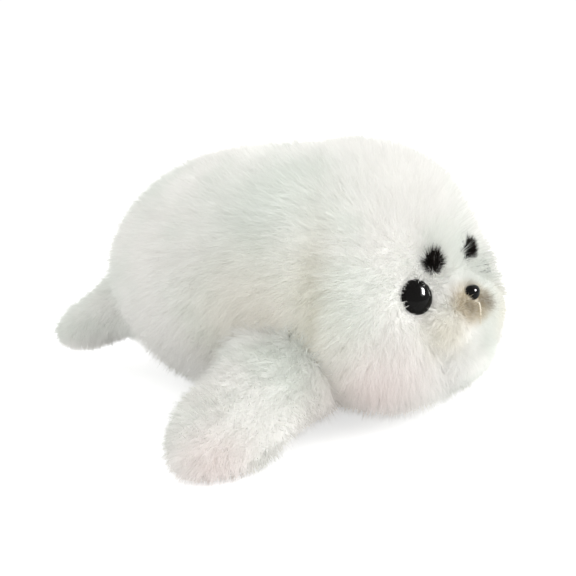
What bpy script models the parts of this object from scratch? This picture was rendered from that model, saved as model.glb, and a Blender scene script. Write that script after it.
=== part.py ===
"""Plush seal pup lying on its belly. Run it with: blender --background --python part.py

Metres, +Z up. The seal looks along -Y, its right side is at -X, and it rests on z = 0.
Each stuffed piece is one closed solid whose surface is the outer face of its pile.
"""

import math

import bmesh
import bpy
import numpy as np
from mathutils import Matrix, Vector

MM = 0.001
UP = Vector((0, 0, 1))
FORWARD = Vector((0, -1, 0))

# Clearance between pieces that touch, and the fineness of round shapes
GAP = 0.3 * MM
BODY_SUBDIVISIONS = 5
PAD_SUBDIVISIONS = 4
TUFT_SUBDIVISIONS = 3
TURN_SEGMENTS = 28
DOME_STEPS = 7
SHARP_ANGLE = math.radians(40)

# How far the search for a surface reaches, how often it halves, and how wide it probes the slope there
SEARCH_REACH = 400 * MM
SEARCH_HALVINGS = 36
SLOPE_PROBE = 0.5 * MM
MERGE_DISTANCE = 0.001 * MM

# Main sizes of the seal
TRUNK_LENGTH = 221 * MM
TRUNK_WIDTH = 180 * MM
TRUNK_TOP = 150.5 * MM
TRUNK_HEIGHT = 154 * MM
HEAD_LENGTH = 124 * MM
HEAD_WIDTH = 152 * MM
HEAD_TOP = 156 * MM
HEAD_HEIGHT = 124 * MM
FRONT_FLIPPER_LENGTH = 101 * MM
REAR_FLIPPER_LENGTH = 84 * MM

# Stuffed masses of the body, each with a centre and radii. The cheek and the jowl have twins at -X
TRUNK = ((0, 15.5 * MM, TRUNK_TOP - TRUNK_HEIGHT / 2), (TRUNK_WIDTH / 2, TRUNK_LENGTH / 2, TRUNK_HEIGHT / 2))
SKULL = ((0, -44 * MM, HEAD_TOP - HEAD_HEIGHT / 2), (HEAD_WIDTH / 2, HEAD_LENGTH / 2, HEAD_HEIGHT / 2))
CHEEK = ((20 * MM, -69 * MM, 56 * MM), (60 * MM, 49 * MM, 50 * MM))
JOWL = ((15 * MM, -89 * MM, 39 * MM), (30 * MM, 28 * MM, 29 * MM))
SPINE_BLEND = 26 * MM
NECK_BLEND = 8 * MM
CHEEK_BLEND = 26 * MM
JOWL_BLEND = 12 * MM
BODY_MIDDLE = Vector((0, -10 * MM, 70 * MM))

# Muzzle of shorter pile, measured from the face behind it: two whisker pads, the bridge and a chin
MUZZLE_Z = 64 * MM
WHISKER_PAD = ((15 * MM, 14 * MM, 0), (24 * MM, 25 * MM, 21 * MM))
BRIDGE = ((0, 13 * MM, 13 * MM), (16 * MM, 18 * MM, 13 * MM))
CHIN = ((0, 11 * MM, -21 * MM), (28 * MM, 24 * MM, 17 * MM))
PAD_BLEND = 10 * MM
CHIN_BLEND = 9 * MM
MUZZLE_MIDDLE = Vector((0, 12 * MM, -2 * MM))

# Front flipper: its paddle and its sleeve in its own frame, root to tip along +Y. The left lies further back
FRONT_OFFSET = 2 * MM
FRONT_PADDLE = ((0, FRONT_FLIPPER_LENGTH / 2 + FRONT_OFFSET, 0), (33 * MM, FRONT_FLIPPER_LENGTH / 2, 17 * MM))
FRONT_SLEEVE = ((0, 6 * MM, 0), (32 * MM, 34 * MM, 23 * MM))
FRONT_BLEND = 20 * MM
FRONT_Y = -41 * MM
FRONT_Z = 43 * MM
FRONT_SINK = 6 * MM
FRONT_SWEEPS = {"right": 0, "left": math.radians(14)}
FRONT_DROOP = math.radians(20)
FRONT_TWIST = math.radians(16)

# Rear flipper, likewise. The two lie side by side, with the middle of the body between them
REAR_OVERLAP = 8 * MM
REAR_PADDLE = ((0, REAR_FLIPPER_LENGTH / 2 - REAR_OVERLAP, 0), (25 * MM, REAR_FLIPPER_LENGTH / 2, 13 * MM))
REAR_SLEEVE = ((0, 4 * MM, 0), (23 * MM, 26 * MM, 17 * MM))
REAR_BLEND = 14 * MM
REAR_X = REAR_PADDLE[1][0]
REAR_Z = 53 * MM
REAR_SINK = 8 * MM
REAR_SWEEP = math.radians(84)
REAR_DROOP = math.radians(30)
REAR_TWIST = math.radians(-25)

# Plastic eye: a dome on a shank, locked by a washer inside the stuffing
EYE_RADIUS = 10 * MM
EYE_RIM = 1.2 * MM
EYE_DOME = 6.5 * MM
EYE_SINK = 8 * MM
EYE_X = 36 * MM
EYE_Z = 84.5 * MM
EYE_SHANK_LENGTH = 14 * MM

# Plastic nose of the same make, wide above and narrow below
NOSE_RADIUS = 5.5 * MM
NOSE_RIM = 1 * MM
NOSE_DOME = 4 * MM
NOSE_SINK = 3.5 * MM
NOSE_RISE = 16.5 * MM
NOSE_TALLNESS = 0.8
NOSE_TAPER = 0.35
NOSE_GRIP = 12 * MM

# What the eyes and the nose share
SHANK_RADIUS = 2.2 * MM
WASHER_RADIUS = 7.5 * MM
WASHER_THICKNESS = 1.6 * MM
WASHER_FROM_END = 3 * MM

# Tufts of black pile over the eyes
BROW_X = 17.5 * MM
BROW_Z = 101 * MM
BROW_RADII = (9 * MM, 8.5 * MM, 5 * MM)
BROW_SINK = 3 * MM

# Stitch from the nose to the mouth, its ends tucked into the pile
STITCH_RADIUS = 0.6 * MM
STITCH_BELOW_NOSE = 2 * MM
STITCH_LENGTH = 13 * MM
STITCH_TUCK = 3 * MM
STITCH_POINTS = 8
STITCH_BEVEL_RESOLUTION = 2

LOOKS = {
    "white_pile": ((0.86, 0.86, 0.82), 0.95),
    "short_pile": ((0.72, 0.64, 0.52), 0.95),
    "black_pile": ((0.02, 0.02, 0.02), 0.9),
    "black_plastic": ((0.008, 0.007, 0.007), 0.08),
    "washer_plastic": ((0.75, 0.75, 0.73), 0.45),
    "thread": ((0.85, 0.82, 0.76), 0.8),
}


def clear_scene():
    for item in list(bpy.data.objects):
        bpy.data.objects.remove(item)


def material(look):
    found = bpy.data.materials.get(look)
    if found:
        return found
    colour, roughness = LOOKS[look]
    made = bpy.data.materials.new(look)
    made.use_nodes = True
    shader = made.node_tree.nodes["Principled BSDF"]
    shader.inputs["Base Color"].default_value = (*colour, 1)
    shader.inputs["Roughness"].default_value = roughness
    shader.inputs["Metallic"].default_value = 0
    return made


def add_object(name, data, look, parent, placement=Matrix.Identity(4)):
    data.materials.append(material(look))
    item = bpy.data.objects.new(name, data)
    bpy.context.scene.collection.objects.link(item)
    item.parent = parent
    item.matrix_local = placement
    return item


def add_cutter(name, mesh, parent, placement=Matrix.Identity(4)):
    item = bpy.data.objects.new(name, mesh)
    bpy.context.scene.collection.objects.link(item)
    item.parent = parent
    item.matrix_local = placement
    item.hide_render = True
    item.display_type = "WIRE"
    return item


def cut(item, tool):
    modifier = item.modifiers.new("cut_" + tool.name, "BOOLEAN")
    modifier.operation = "DIFFERENCE"
    modifier.object = tool


def new_mesh(name, form):
    mesh = bpy.data.meshes.new(name)
    form.to_mesh(mesh)
    form.free()
    mesh.shade_smooth()
    return mesh


def ellipsoid(points, mass):
    """About how far each point is outside an ellipsoid; negative inside."""
    centre, radii = (np.array(part) for part in mass)
    scaled = (points - centre) / radii
    reach = np.linalg.norm(scaled, axis=1)
    slope = np.linalg.norm(scaled / radii, axis=1)
    return reach * (reach - 1) / np.maximum(slope, np.finfo(float).tiny)


def blended(first, second, blend):
    """Union of two forms with a fillet as wide as the blend."""
    overlap = np.maximum(blend - np.abs(first - second), 0) / blend
    return np.minimum(first, second) - overlap**2 * blend / 4


def either_side(points):
    """The points with those at -X mirrored, for a form that has a twin."""
    return np.column_stack([np.abs(points[:, 0]), points[:, 1:]])


def body_form(points):
    skull = ellipsoid(points, SKULL)
    spine = blended(ellipsoid(points, TRUNK), skull, SPINE_BLEND)
    mirrored = either_side(points)
    cheeks = blended(ellipsoid(mirrored, CHEEK), ellipsoid(mirrored, JOWL), JOWL_BLEND)
    head = blended(skull, cheeks, CHEEK_BLEND)
    return blended(spine, head, NECK_BLEND)


def muzzle_form(points):
    right = ellipsoid(points * (-1, 1, 1), WHISKER_PAD)
    left = ellipsoid(points, WHISKER_PAD)
    pads = blended(blended(right, left, PAD_BLEND), ellipsoid(points, BRIDGE), PAD_BLEND)
    return blended(pads, ellipsoid(points, CHIN), CHIN_BLEND)


def front_flipper_form(points):
    return blended(ellipsoid(points, FRONT_PADDLE), ellipsoid(points, FRONT_SLEEVE), FRONT_BLEND)


def rear_flipper_form(points):
    return blended(ellipsoid(points, REAR_PADDLE), ellipsoid(points, REAR_SLEEVE), REAR_BLEND)


def brow_form(points):
    return ellipsoid(points, ((0, 0, 0), BROW_RADII))


def along_rays(form, inside, directions, offset=0.0):
    """Where rays from a point inside leave a form that is swollen by the offset."""
    near = np.zeros(len(directions))
    far = np.full(len(directions), SEARCH_REACH)
    start = np.array(inside)
    for _ in range(SEARCH_HALVINGS):
        half = (near + far) / 2
        within = form(start + directions * half[:, None]) < offset
        near = np.where(within, half, near)
        far = np.where(within, far, half)
    return start + directions * near[:, None]


def soft_mesh(name, form, inside, subdivisions, offset=0.0, floor=None):
    """A sphere drawn out to a form, and cut flat where it meets the floor."""
    drawn = bmesh.new()
    bmesh.ops.create_icosphere(drawn, subdivisions=subdivisions, radius=1)
    directions = np.array([corner.co.normalized() for corner in drawn.verts])
    for corner, place in zip(drawn.verts, along_rays(form, inside, directions, offset)):
        corner.co = place
    if floor is not None:
        geometry = drawn.verts[:] + drawn.edges[:] + drawn.faces[:]
        sliced = bmesh.ops.bisect_plane(
            drawn, geom=geometry, plane_co=(0, 0, floor), plane_no=UP, clear_inner=True, dist=MERGE_DISTANCE
        )
        rim = [part for part in sliced["geom_cut"] if isinstance(part, bmesh.types.BMEdge)]
        bmesh.ops.contextual_create(drawn, geom=rim)
    return new_mesh(name, drawn)


def surface_at(form, inside, direction):
    """Where a ray leaves a form, and which way its surface faces there."""
    point = along_rays(form, inside, np.array([direction.normalized()]))[0]
    steps = SLOPE_PROBE * np.eye(3)
    probes = form(np.vstack([point + steps, point - steps]))
    return Vector(point), Vector(probes[:3] - probes[3:]).normalized()


def facing(point, outward):
    """A placement with +Z outward and +Y as near up as it can be."""
    side = UP.cross(outward).normalized()
    rise = outward.cross(side)
    return Matrix.Translation(point) @ Matrix((side, rise, outward)).transposed().to_4x4()


def reaching(side, root, sweep, droop, twist):
    """A placement with +Y along a flipper. The sweep is backwards, and the twist lifts the rear edge.

    The root is given on the right side, and a left flipper is its mirror image.
    """
    level = Vector((-math.cos(sweep), math.sin(sweep), 0))
    along = level * math.cos(droop) - UP * math.sin(droop)
    across = along.cross(UP).normalized()
    turn = Matrix((across, along, across.cross(along))).transposed() @ Matrix.Rotation(-twist, 3, "Y")
    placement = Matrix.Translation(root) @ turn.to_4x4()
    if side > 0:
        mirror = Matrix.Scale(-1, 4, (1, 0, 0))
        placement = mirror @ placement @ mirror
    return placement


def turned(name, profile, hollow=False, reshape=None):
    """A solid turned about Z. A full profile runs from the axis, lowest point first, back to the axis."""
    form = bmesh.new()
    corners = [form.verts.new((radius, 0, height)) for radius, height in profile]
    ends = corners[1:] + corners[:1] if hollow else corners[1:]
    edges = [form.edges.new(pair) for pair in zip(corners, ends)]
    bmesh.ops.spin(
        form,
        geom=corners + edges,
        cent=(0, 0, 0),
        axis=(0, 0, 1),
        angle=math.tau,
        steps=TURN_SEGMENTS,
        use_merge=True,
    )
    bmesh.ops.remove_doubles(form, verts=form.verts, dist=MERGE_DISTANCE)
    if reshape:
        for corner in form.verts:
            corner.co = reshape(corner.co)
    bmesh.ops.recalc_face_normals(form, faces=form.faces)
    mesh = new_mesh(name, form)
    mesh.set_sharp_from_angle(angle=SHARP_ANGLE)
    return mesh


def dome(radius, rim, height):
    """Profile of a dome on a short upright rim."""
    turns = [math.pi / 2 * step / DOME_STEPS for step in range(DOME_STEPS)]
    curve = [(radius * math.cos(turn), rim + height * math.sin(turn)) for turn in turns]
    return [(radius, 0), *curve, (0, rim + height)]


def plastic_profile(radius, rim, height, shank_length):
    shank = [(0, -shank_length), (SHANK_RADIUS, -shank_length), (SHANK_RADIUS, 0)]
    return shank + dome(radius, rim, height)


def washer_profile(shank_length):
    inner = -shank_length + WASHER_FROM_END
    outer = inner + WASHER_THICKNESS
    bore = SHANK_RADIUS + GAP
    return [(bore, inner), (WASHER_RADIUS, inner), (WASHER_RADIUS, outer), (bore, outer)]


def seat_profile(radius, shank_length):
    """What the dome, the shank and the washer take out of the stuffing, open well past the dome."""
    inner = -shank_length + WASHER_FROM_END - GAP
    outer = inner + WASHER_THICKNESS + 2 * GAP
    bore = SHANK_RADIUS + GAP
    room = WASHER_RADIUS + GAP
    return [
        (0, -shank_length - GAP),
        (bore, -shank_length - GAP),
        (bore, inner),
        (room, inner),
        (room, outer),
        (bore, outer),
        (bore, -GAP),
        (radius + GAP, -GAP),
        (radius + GAP, 2 * radius),
        (0, 2 * radius),
    ]


def nose_outline(place):
    """Narrows the dome of the nose towards its lower end, and leaves the shank and the washer round."""
    if place.z < -2 * GAP:
        return place
    return Vector((place.x * (1 + NOSE_TAPER * place.y / NOSE_RADIUS), place.y * NOSE_TALLNESS, place.z))


def build_fastened(name, placement, profile, shank_length, seat, cut_pieces, parent, reshape=None):
    """A plastic piece with its washer, and the room for both in the pieces that it goes into."""
    add_object(name, turned(name, profile, reshape=reshape), "black_plastic", parent, placement)
    washer = name + "_washer"
    ring = turned(washer, washer_profile(shank_length), True)
    add_object(washer, ring, "washer_plastic", parent, placement)
    tool = add_cutter(name + "_seat", turned(name + "_seat", seat, reshape=reshape), parent, placement)
    for piece in cut_pieces:
        cut(piece, tool)


def build_eye(label, side, body, parent):
    level = Vector((side * EYE_X, SKULL[0][1], EYE_Z))
    point, outward = surface_at(body_form, level, FORWARD)
    placement = facing(point - outward * EYE_SINK, outward)
    profile = plastic_profile(EYE_RADIUS, EYE_RIM, EYE_DOME, EYE_SHANK_LENGTH)
    seat = seat_profile(EYE_RADIUS, EYE_SHANK_LENGTH)
    build_fastened(f"eye_{label}", placement, profile, EYE_SHANK_LENGTH, seat, [body], parent)


def build_nose(face, body, muzzle, parent):
    level = Vector((0, WHISKER_PAD[0][1], NOSE_RISE))
    point, outward = surface_at(muzzle_form, level, FORWARD)
    base = face + point - outward * NOSE_SINK
    deep = 2 * WHISKER_PAD[1][1]
    skin, _ = surface_at(body_form, base - outward * deep, outward)
    shank_length = (base - skin).length + NOSE_GRIP
    profile = plastic_profile(NOSE_RADIUS, NOSE_RIM, NOSE_DOME, shank_length)
    seat = seat_profile(NOSE_RADIUS, shank_length)
    placement = facing(base, outward)
    build_fastened("nose", placement, profile, shank_length, seat, [body, muzzle], parent, nose_outline)


def build_brow(label, side, body_seat, parent):
    level = Vector((side * BROW_X, SKULL[0][1], BROW_Z))
    point, outward = surface_at(body_form, level, FORWARD)
    mesh = soft_mesh(f"brow_{label}", brow_form, (0, 0, 0), TUFT_SUBDIVISIONS)
    placement = facing(point - outward * BROW_SINK, outward)
    brow = add_object(f"brow_{label}", mesh, "black_pile", parent, placement)
    cut(brow, body_seat)


def build_flipper(name, form, sleeve, placement, body_seat, parent):
    mesh = soft_mesh(name, form, (0, sleeve[1][1] / 2, 0), PAD_SUBDIVISIONS)
    flipper = add_object(name, mesh, "white_pile", parent, placement)
    cut(flipper, body_seat)


def build_flippers(label, side, body_seat, parent):
    flank, _ = surface_at(body_form, (0, FRONT_Y, FRONT_Z), Vector((-1, 0, 0)))
    root = flank + Vector((FRONT_SINK, 0, 0))
    placement = reaching(side, root, FRONT_SWEEPS[label], FRONT_DROOP, FRONT_TWIST)
    build_flipper(f"front_flipper_{label}", front_flipper_form, FRONT_SLEEVE, placement, body_seat, parent)
    rump, _ = surface_at(body_form, (-REAR_X, 0, REAR_Z), Vector((0, 1, 0)))
    root = rump - Vector((0, REAR_SINK, 0))
    placement = reaching(side, root, REAR_SWEEP, REAR_DROOP, REAR_TWIST)
    build_flipper(f"rear_flipper_{label}", rear_flipper_form, REAR_SLEEVE, placement, body_seat, parent)


def stitch_route():
    """Down the middle of the muzzle from under the nose, with both ends turned into the pile."""
    top = NOSE_RISE - NOSE_RADIUS * NOSE_TALLNESS - STITCH_BELOW_NOSE
    places = []
    for height in np.linspace(top, top - STITCH_LENGTH, STITCH_POINTS):
        level = Vector((0, WHISKER_PAD[0][1], height))
        places.append(surface_at(muzzle_form, level, FORWARD))
    first, last = places[0], places[-1]
    tucked_in = first[0] - first[1] * STITCH_TUCK
    tucked_out = last[0] - last[1] * STITCH_TUCK
    return [tucked_in, *(point for point, _ in places), tucked_out]


def tube_mesh(name, route, radius):
    curve = bpy.data.curves.new(name, "CURVE")
    curve.dimensions = "3D"
    curve.bevel_depth = radius
    curve.bevel_resolution = STITCH_BEVEL_RESOLUTION
    curve.use_fill_caps = True
    line = curve.splines.new("POLY")
    line.points.add(len(route) - 1)
    for point, place in zip(line.points, route):
        point.co = (*place, 1)
    item = bpy.data.objects.new(name, curve)
    mesh = bpy.data.meshes.new_from_object(item)
    bpy.data.objects.remove(item)
    mesh.name = name
    return mesh


def build_stitch(face, muzzle, parent):
    placement = Matrix.Translation(face)
    route = stitch_route()
    add_object("mouth_stitch", tube_mesh("mouth_stitch", route, STITCH_RADIUS), "thread", parent, placement)
    start = route[0] + (route[0] - route[1]).normalized() * GAP
    finish = route[-1] + (route[-1] - route[-2]).normalized() * GAP
    groove = tube_mesh("stitch_groove", [start, *route[1:-1], finish], STITCH_RADIUS + GAP)
    cut(muzzle, add_cutter("stitch_groove", groove, parent, placement))


def centre_on_floor(seal):
    """Moves the seal so that the middle of its length is over the origin."""
    bpy.context.view_layer.update()
    graph = bpy.context.evaluated_depsgraph_get()
    solids = [item.evaluated_get(graph) for item in seal.children if not item.hide_render]
    lengths = [(item.matrix_world @ corner.co).y for item in solids for corner in item.data.vertices]
    seal.location.y = -(min(lengths) + max(lengths)) / 2


def main():
    clear_scene()
    seal = bpy.data.objects.new("seal", None)
    bpy.context.scene.collection.objects.link(seal)
    body_mesh = soft_mesh("body", body_form, BODY_MIDDLE, BODY_SUBDIVISIONS, floor=0)
    body = add_object("body", body_mesh, "white_pile", seal)
    seat_mesh = soft_mesh("body_seat", body_form, BODY_MIDDLE, BODY_SUBDIVISIONS, GAP)
    body_seat = add_cutter("body_seat", seat_mesh, seal)
    face, _ = surface_at(body_form, (0, SKULL[0][1], MUZZLE_Z), FORWARD)
    muzzle_mesh = soft_mesh("muzzle", muzzle_form, MUZZLE_MIDDLE, PAD_SUBDIVISIONS)
    muzzle = add_object("muzzle", muzzle_mesh, "short_pile", seal, Matrix.Translation(face))
    cut(muzzle, body_seat)
    for label, side in (("right", -1), ("left", 1)):
        build_flippers(label, side, body_seat, seal)
        build_eye(label, side, body, seal)
        build_brow(label, side, body_seat, seal)
    build_nose(face, body, muzzle, seal)
    build_stitch(face, muzzle, seal)
    centre_on_floor(seal)


if __name__ == "__main__":
    main()
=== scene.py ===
"""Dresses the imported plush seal: covers, pile, plastic eyes and nose, thread, and a small studio."""

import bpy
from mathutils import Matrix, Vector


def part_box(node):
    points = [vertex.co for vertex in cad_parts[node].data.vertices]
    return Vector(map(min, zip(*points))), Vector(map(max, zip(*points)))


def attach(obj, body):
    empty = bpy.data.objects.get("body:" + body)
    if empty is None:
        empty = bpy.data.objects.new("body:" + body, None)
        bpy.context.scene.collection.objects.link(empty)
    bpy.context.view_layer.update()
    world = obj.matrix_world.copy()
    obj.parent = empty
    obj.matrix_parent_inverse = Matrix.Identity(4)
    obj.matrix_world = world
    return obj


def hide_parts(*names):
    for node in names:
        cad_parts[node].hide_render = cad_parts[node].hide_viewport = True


bl_info = {
    "name": "Plush Seal",
    "version": (1, 0, 0),
    "blender": (4, 5, 0),
    "location": "View3D > Sidebar > Seal",
    "description": "Grows the pile of a plush seal and fits its plastic parts",
    "category": "Object",
}

import math
from functools import partial

import bmesh
import bpy
import numpy as np
from bpy.props import FloatProperty, FloatVectorProperty, IntProperty, PointerProperty
from mathutils import Matrix, Vector, noise
from mathutils.bvhtree import BVHTree

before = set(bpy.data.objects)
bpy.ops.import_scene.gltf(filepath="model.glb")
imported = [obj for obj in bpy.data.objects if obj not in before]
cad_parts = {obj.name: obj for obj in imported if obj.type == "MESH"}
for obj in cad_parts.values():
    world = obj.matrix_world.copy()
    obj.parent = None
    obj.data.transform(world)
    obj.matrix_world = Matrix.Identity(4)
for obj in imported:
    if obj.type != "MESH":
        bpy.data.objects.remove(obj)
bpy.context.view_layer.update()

MM = 0.001
BODY = "root"
SIDES = {"right": -1, "left": 1}
BODY_LOW, BODY_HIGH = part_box("body")
NOSE_LOW, NOSE_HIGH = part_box("nose")
MERGE_DISTANCE = 0.01 * MM

# Kinds of node that do sums with numbers and with vectors
MATH = "ShaderNodeMath"
VECTOR_MATH = "ShaderNodeVectorMath"

# How the covers are made: the squares of their cloth, and how far the stuffing may move them
BODY_VOXEL = 4 * MM
FLIPPER_VOXEL = 3.5 * MM
MUZZLE_VOXEL = 2.5 * MM
BROW_VOXEL = 1.2 * MM
PRESSURE = 4
CLOTH_FRAMES = 20
PLUMP_LIMIT = 2 * MM

# The soft fold between the cheeks and the trunk
FOLD_Y = BODY_LOW.y + 53 * MM
FOLD_WIDTH = 9 * MM
FOLD_DEPTH = 4.5 * MM
FOLD_LEAN = 17 * MM

# How much deeper the cover lies where the pile hangs and stands off
UNDER_DEPTH = 5 * MM

# Pile starts where a cover leaves the piece that it is sewn to
SEAM_GAP = 0.35 * MM

# A point far above the seal, for pile that nothing keeps bare, and square centimetres in a square metre
NOTHING_BARE = (((0, 0, 1), 1 * MM, 0),)
PER_SQUARE_CM = 1e4

# A strand's reach along the cover and its rise from it, for each unit of its length
STRAND_REACH = 0.9
STRAND_RISE = 0.55

# How far round an eye the cover is drawn tight, and in how many steps
EYE_TIGHT = 15 * MM
TIGHTENING = 60

# Depth of an eye's dome, how far off the long pile keeps, and how much of it is brushed away beside the eye
EYE_DOME_DEPTH = 12 * MM
EYE_CLEARING = 10.2 * MM
EYE_BRUSH = {"right": 0.9, "left": 0.1}

# How far pile stands up on the outer and the inner side of each eye, and how much longer it is inside
RIM_LIFTS = {"right": (0.27, 0.25), "left": (0.3, 0.95)}
RIM_LONGER = {"right": 0, "left": 0.65}

# How far the brow tufts sag to the seal's right, and how far off the long pile keeps
BROW_SAG = (1.6 * MM, 0, 1.6 * MM)
BROW_CLEARING = 7 * MM

# Radius of each tuft's roots, and how deep it is sewn in. The left tuft came out smaller
BROW_RADII = {"right": 5.5 * MM, "left": 5 * MM}
BROW_DEPTHS = {"right": 3.5 * MM, "left": 1.5 * MM}

# Points that pile lies away from, on the head, on the trunk and on the muzzle
HEAD_SOURCE = (0, NOSE_LOW.y, 85 * MM)
TRUNK_SOURCE = (0, BODY_LOW.y - 60 * MM, BODY_HIGH.z + 90 * MM)
MUZZLE_SOURCE = (0, NOSE_LOW.y - 10 * MM, NOSE_HIGH.z)

# How far the pile strays from its flow in places, and the size of such a place
TOUSLE = 0.65
TOUSLE_SIZE = 22 * MM

# Middles of the tinted places on the left, mirrored on the right
CHEEK_BLUSH = (62 * MM, BODY_LOW.y + 26 * MM, 28 * MM)
MUZZLE_BLUSH = (28 * MM, BODY_LOW.y, 62 * MM)
FLIPPER_BLUSH = (152 * MM, BODY_LOW.y + 64 * MM, 10 * MM)
BACK_TINT = (62 * MM, BODY_LOW.y + 95 * MM, 133 * MM)
FLANK_TINT = (88 * MM, BODY_LOW.y + 85 * MM, 60 * MM)

# How hard short pile is pushed away from what is bare, and how much of its own facing shades a strand
BRUSH_PUSH = 0.4
OWN_SHADING = 0.24

# Limits that are never reached: tufts for each square metre, and metres to either side
DENSEST_TUFTS = 1e6
FAR_AWAY = 1e3

# Metres from the floor's middle to its edges, what the camera looks at, and how strong the light from above
# is beside that from the sides
FLOOR = 3
CAMERA_TARGET = (0, BODY_HIGH.y - 117 * MM, 65.5 * MM)
OVERHEAD = 0.79

# A map cell for each strand of a piece, and how much of its cell a strand fills
MAP_CELLS = 256
CELL_FILL = 0.7


def linear(code):
    """A colour's sRGB hex code as linear red, green and blue."""
    parts = [int(code[place:place + 2], 16) / 255 for place in (1, 3, 5)]
    return tuple(part / 12.92 if part <= 0.04045 else ((part + 0.055) / 1.055) ** 2.4 for part in parts)


class SealPileSettings(bpy.types.PropertyGroup):
    body_length: FloatProperty(
        name="Body pile", description="Strand length on the body", default=13 * MM, unit="LENGTH"
    )
    flipper_length: FloatProperty(
        name="Flipper pile", description="Strand length on the flippers", default=9 * MM, unit="LENGTH"
    )
    muzzle_length: FloatProperty(
        name="Muzzle pile", description="Strand length on the muzzle", default=4.5 * MM, unit="LENGTH"
    )
    brow_length: FloatProperty(
        name="Brow pile", description="Strand length in the black tufts", default=4.5 * MM, unit="LENGTH"
    )
    strand_width: FloatProperty(
        name="Strand width", description="Width of a strand at its root", default=0.5 * MM, unit="LENGTH"
    )
    density: FloatProperty(name="Density", description="Strands on a square centimetre of body", default=200)
    tuft_spacing: FloatProperty(
        name="Tuft spacing", description="Distance between tufts of strands", default=5 * MM, unit="LENGTH"
    )
    layers: IntProperty(name="Layers", description="Pieces that the body's pile is made in", default=4, min=1)
    seed: IntProperty(name="Seed", description="Seed of all that is random in the pile", default=3)


class SealColourSettings(bpy.types.PropertyGroup):
    pile: FloatVectorProperty(
        name="Pile", description="Main colour of the pile", subtype="COLOR", default=linear("#FBFAF6")
    )
    grey: FloatVectorProperty(
        name="Grey-green", description="Cool patches of the pile", subtype="COLOR", default=linear("#EAF0E8")
    )
    cream: FloatVectorProperty(
        name="Cream", description="Warm patches of the pile", subtype="COLOR", default=linear("#F3E6E2")
    )
    # Beige is also the painted shade along the fold behind the cheeks
    beige: FloatVectorProperty(
        name="Beige", description="Fold behind the cheeks", subtype="COLOR", default=linear("#EEE8D6")
    )
    tan: FloatVectorProperty(
        name="Tan", description="Sprayed tint around the nose", subtype="COLOR", default=linear("#C2B08A")
    )
    brown: FloatVectorProperty(
        name="Brown", description="Sprayed smudges under the nose", subtype="COLOR", default=linear("#4A3826")
    )
    black_pile: FloatVectorProperty(
        name="Black pile", description="Colour of the brow tufts", subtype="COLOR", default=linear("#141110")
    )
    plastic: FloatVectorProperty(
        name="Plastic", description="Colour of the eyes and nose", subtype="COLOR", default=linear("#0A0908")
    )
    thread: FloatVectorProperty(
        name="Thread", description="Colour of the mouth stitch", subtype="COLOR", default=linear("#E2D8C2")
    )


class SealStudioSettings(bpy.types.PropertyGroup):
    turn: FloatProperty(
        name="Camera turn", description="Round from the face", subtype="ANGLE", default=math.radians(-52.7)
    )
    height: FloatProperty(
        name="Camera height", description="Up from the floor", subtype="ANGLE", default=math.radians(14)
    )
    roll: FloatProperty(
        name="Camera roll", description="To one side", subtype="ANGLE", default=math.radians(-1.7)
    )
    distance: FloatProperty(name="Camera distance", description="To its target", default=0.9, unit="LENGTH")
    lens: FloatProperty(name="Lens", description="Focal length in millimetres", default=92.5)
    key: FloatProperty(name="Key light", description="Power of the soft box in watts", default=6)
    fill: FloatProperty(name="Fill light", description="Power of the camera's lamp in watts", default=2.4)
    sky: FloatProperty(name="Sky", description="Strength of the light from all round", default=1.055)


def add_node(tree, kind, inputs=(), output=0, **settings):
    """Adds a node with its settings and links, and gives one of its outputs.

    Each input, by name or in order, takes a value or another node's output. A colour comes without its alpha.
    """
    made = tree.nodes.new(kind)
    for name, value in settings.items():
        setattr(made, name, value)
    for name, value in inputs.items() if isinstance(inputs, dict) else enumerate(inputs):
        socket = made.inputs[name]
        if isinstance(value, bpy.types.NodeSocket):
            tree.links.new(value, socket)
        else:
            socket.default_value = (*value, 1) if socket.type == "RGBA" else value
    return made.outputs[output] if made.outputs else None


def add_object(name, mesh):
    item = bpy.data.objects.new(name, mesh)
    bpy.context.scene.collection.objects.link(item)
    return item


def flatten(item):
    """Makes what an object's modifiers give its plain mesh."""
    graph = bpy.context.evaluated_depsgraph_get()
    made = item.evaluated_get(graph)
    mesh = bpy.data.meshes.new_from_object(made, preserve_all_data_layers=True, depsgraph=graph)
    item.modifiers.clear()
    item.data = mesh
    mesh.name = item.name


def merged_copy(name, node):
    """A copy of a CAD node with its loose triangles merged."""
    form = bmesh.new()
    form.from_mesh(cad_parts[node].data)
    bmesh.ops.remove_doubles(form, verts=form.verts, dist=MERGE_DISTANCE)
    mesh = bpy.data.meshes.new(name)
    form.to_mesh(mesh)
    form.free()
    return add_object(name, mesh)


def keep_largest_shell(mesh):
    """Deletes what a remesh leaves of the room inside a solid."""
    form = bmesh.new()
    form.from_mesh(mesh)
    unseen = set(form.verts)
    shells = []
    while unseen:
        waiting = [unseen.pop()]
        shell = []
        while waiting:
            corner = waiting.pop()
            shell.append(corner)
            near = {edge.other_vert(corner) for edge in corner.link_edges} & unseen
            unseen -= near
            waiting.extend(near)
        shells.append(shell)
    shells.sort(key=len)
    inner = [corner for shell in shells[:-1] for corner in shell]
    bmesh.ops.delete(form, geom=inner, context="VERTS")
    form.to_mesh(mesh)
    form.free()


def coordinates(mesh):
    places = np.empty(len(mesh.vertices) * 3, np.float32)
    mesh.vertices.foreach_get("co", places)
    return places.reshape(-1, 3).astype(float)


def set_coordinates(mesh, places):
    mesh.vertices.foreach_set("co", places.astype(np.float32).ravel())
    mesh.update()


def normals(mesh):
    facing = np.empty(len(mesh.vertices) * 3, np.float32)
    mesh.vertices.foreach_get("normal", facing)
    return facing.reshape(-1, 3).astype(float)


def eased(values, low, high):
    """0 below low, 1 above high, and a smooth ramp between."""
    share = np.clip((values - low) / (high - low), 0, 1)
    return share * share * (3 - 2 * share)


def unit(vectors):
    return vectors / np.maximum(np.linalg.norm(vectors, axis=-1, keepdims=True), np.finfo(float).tiny)


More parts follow.
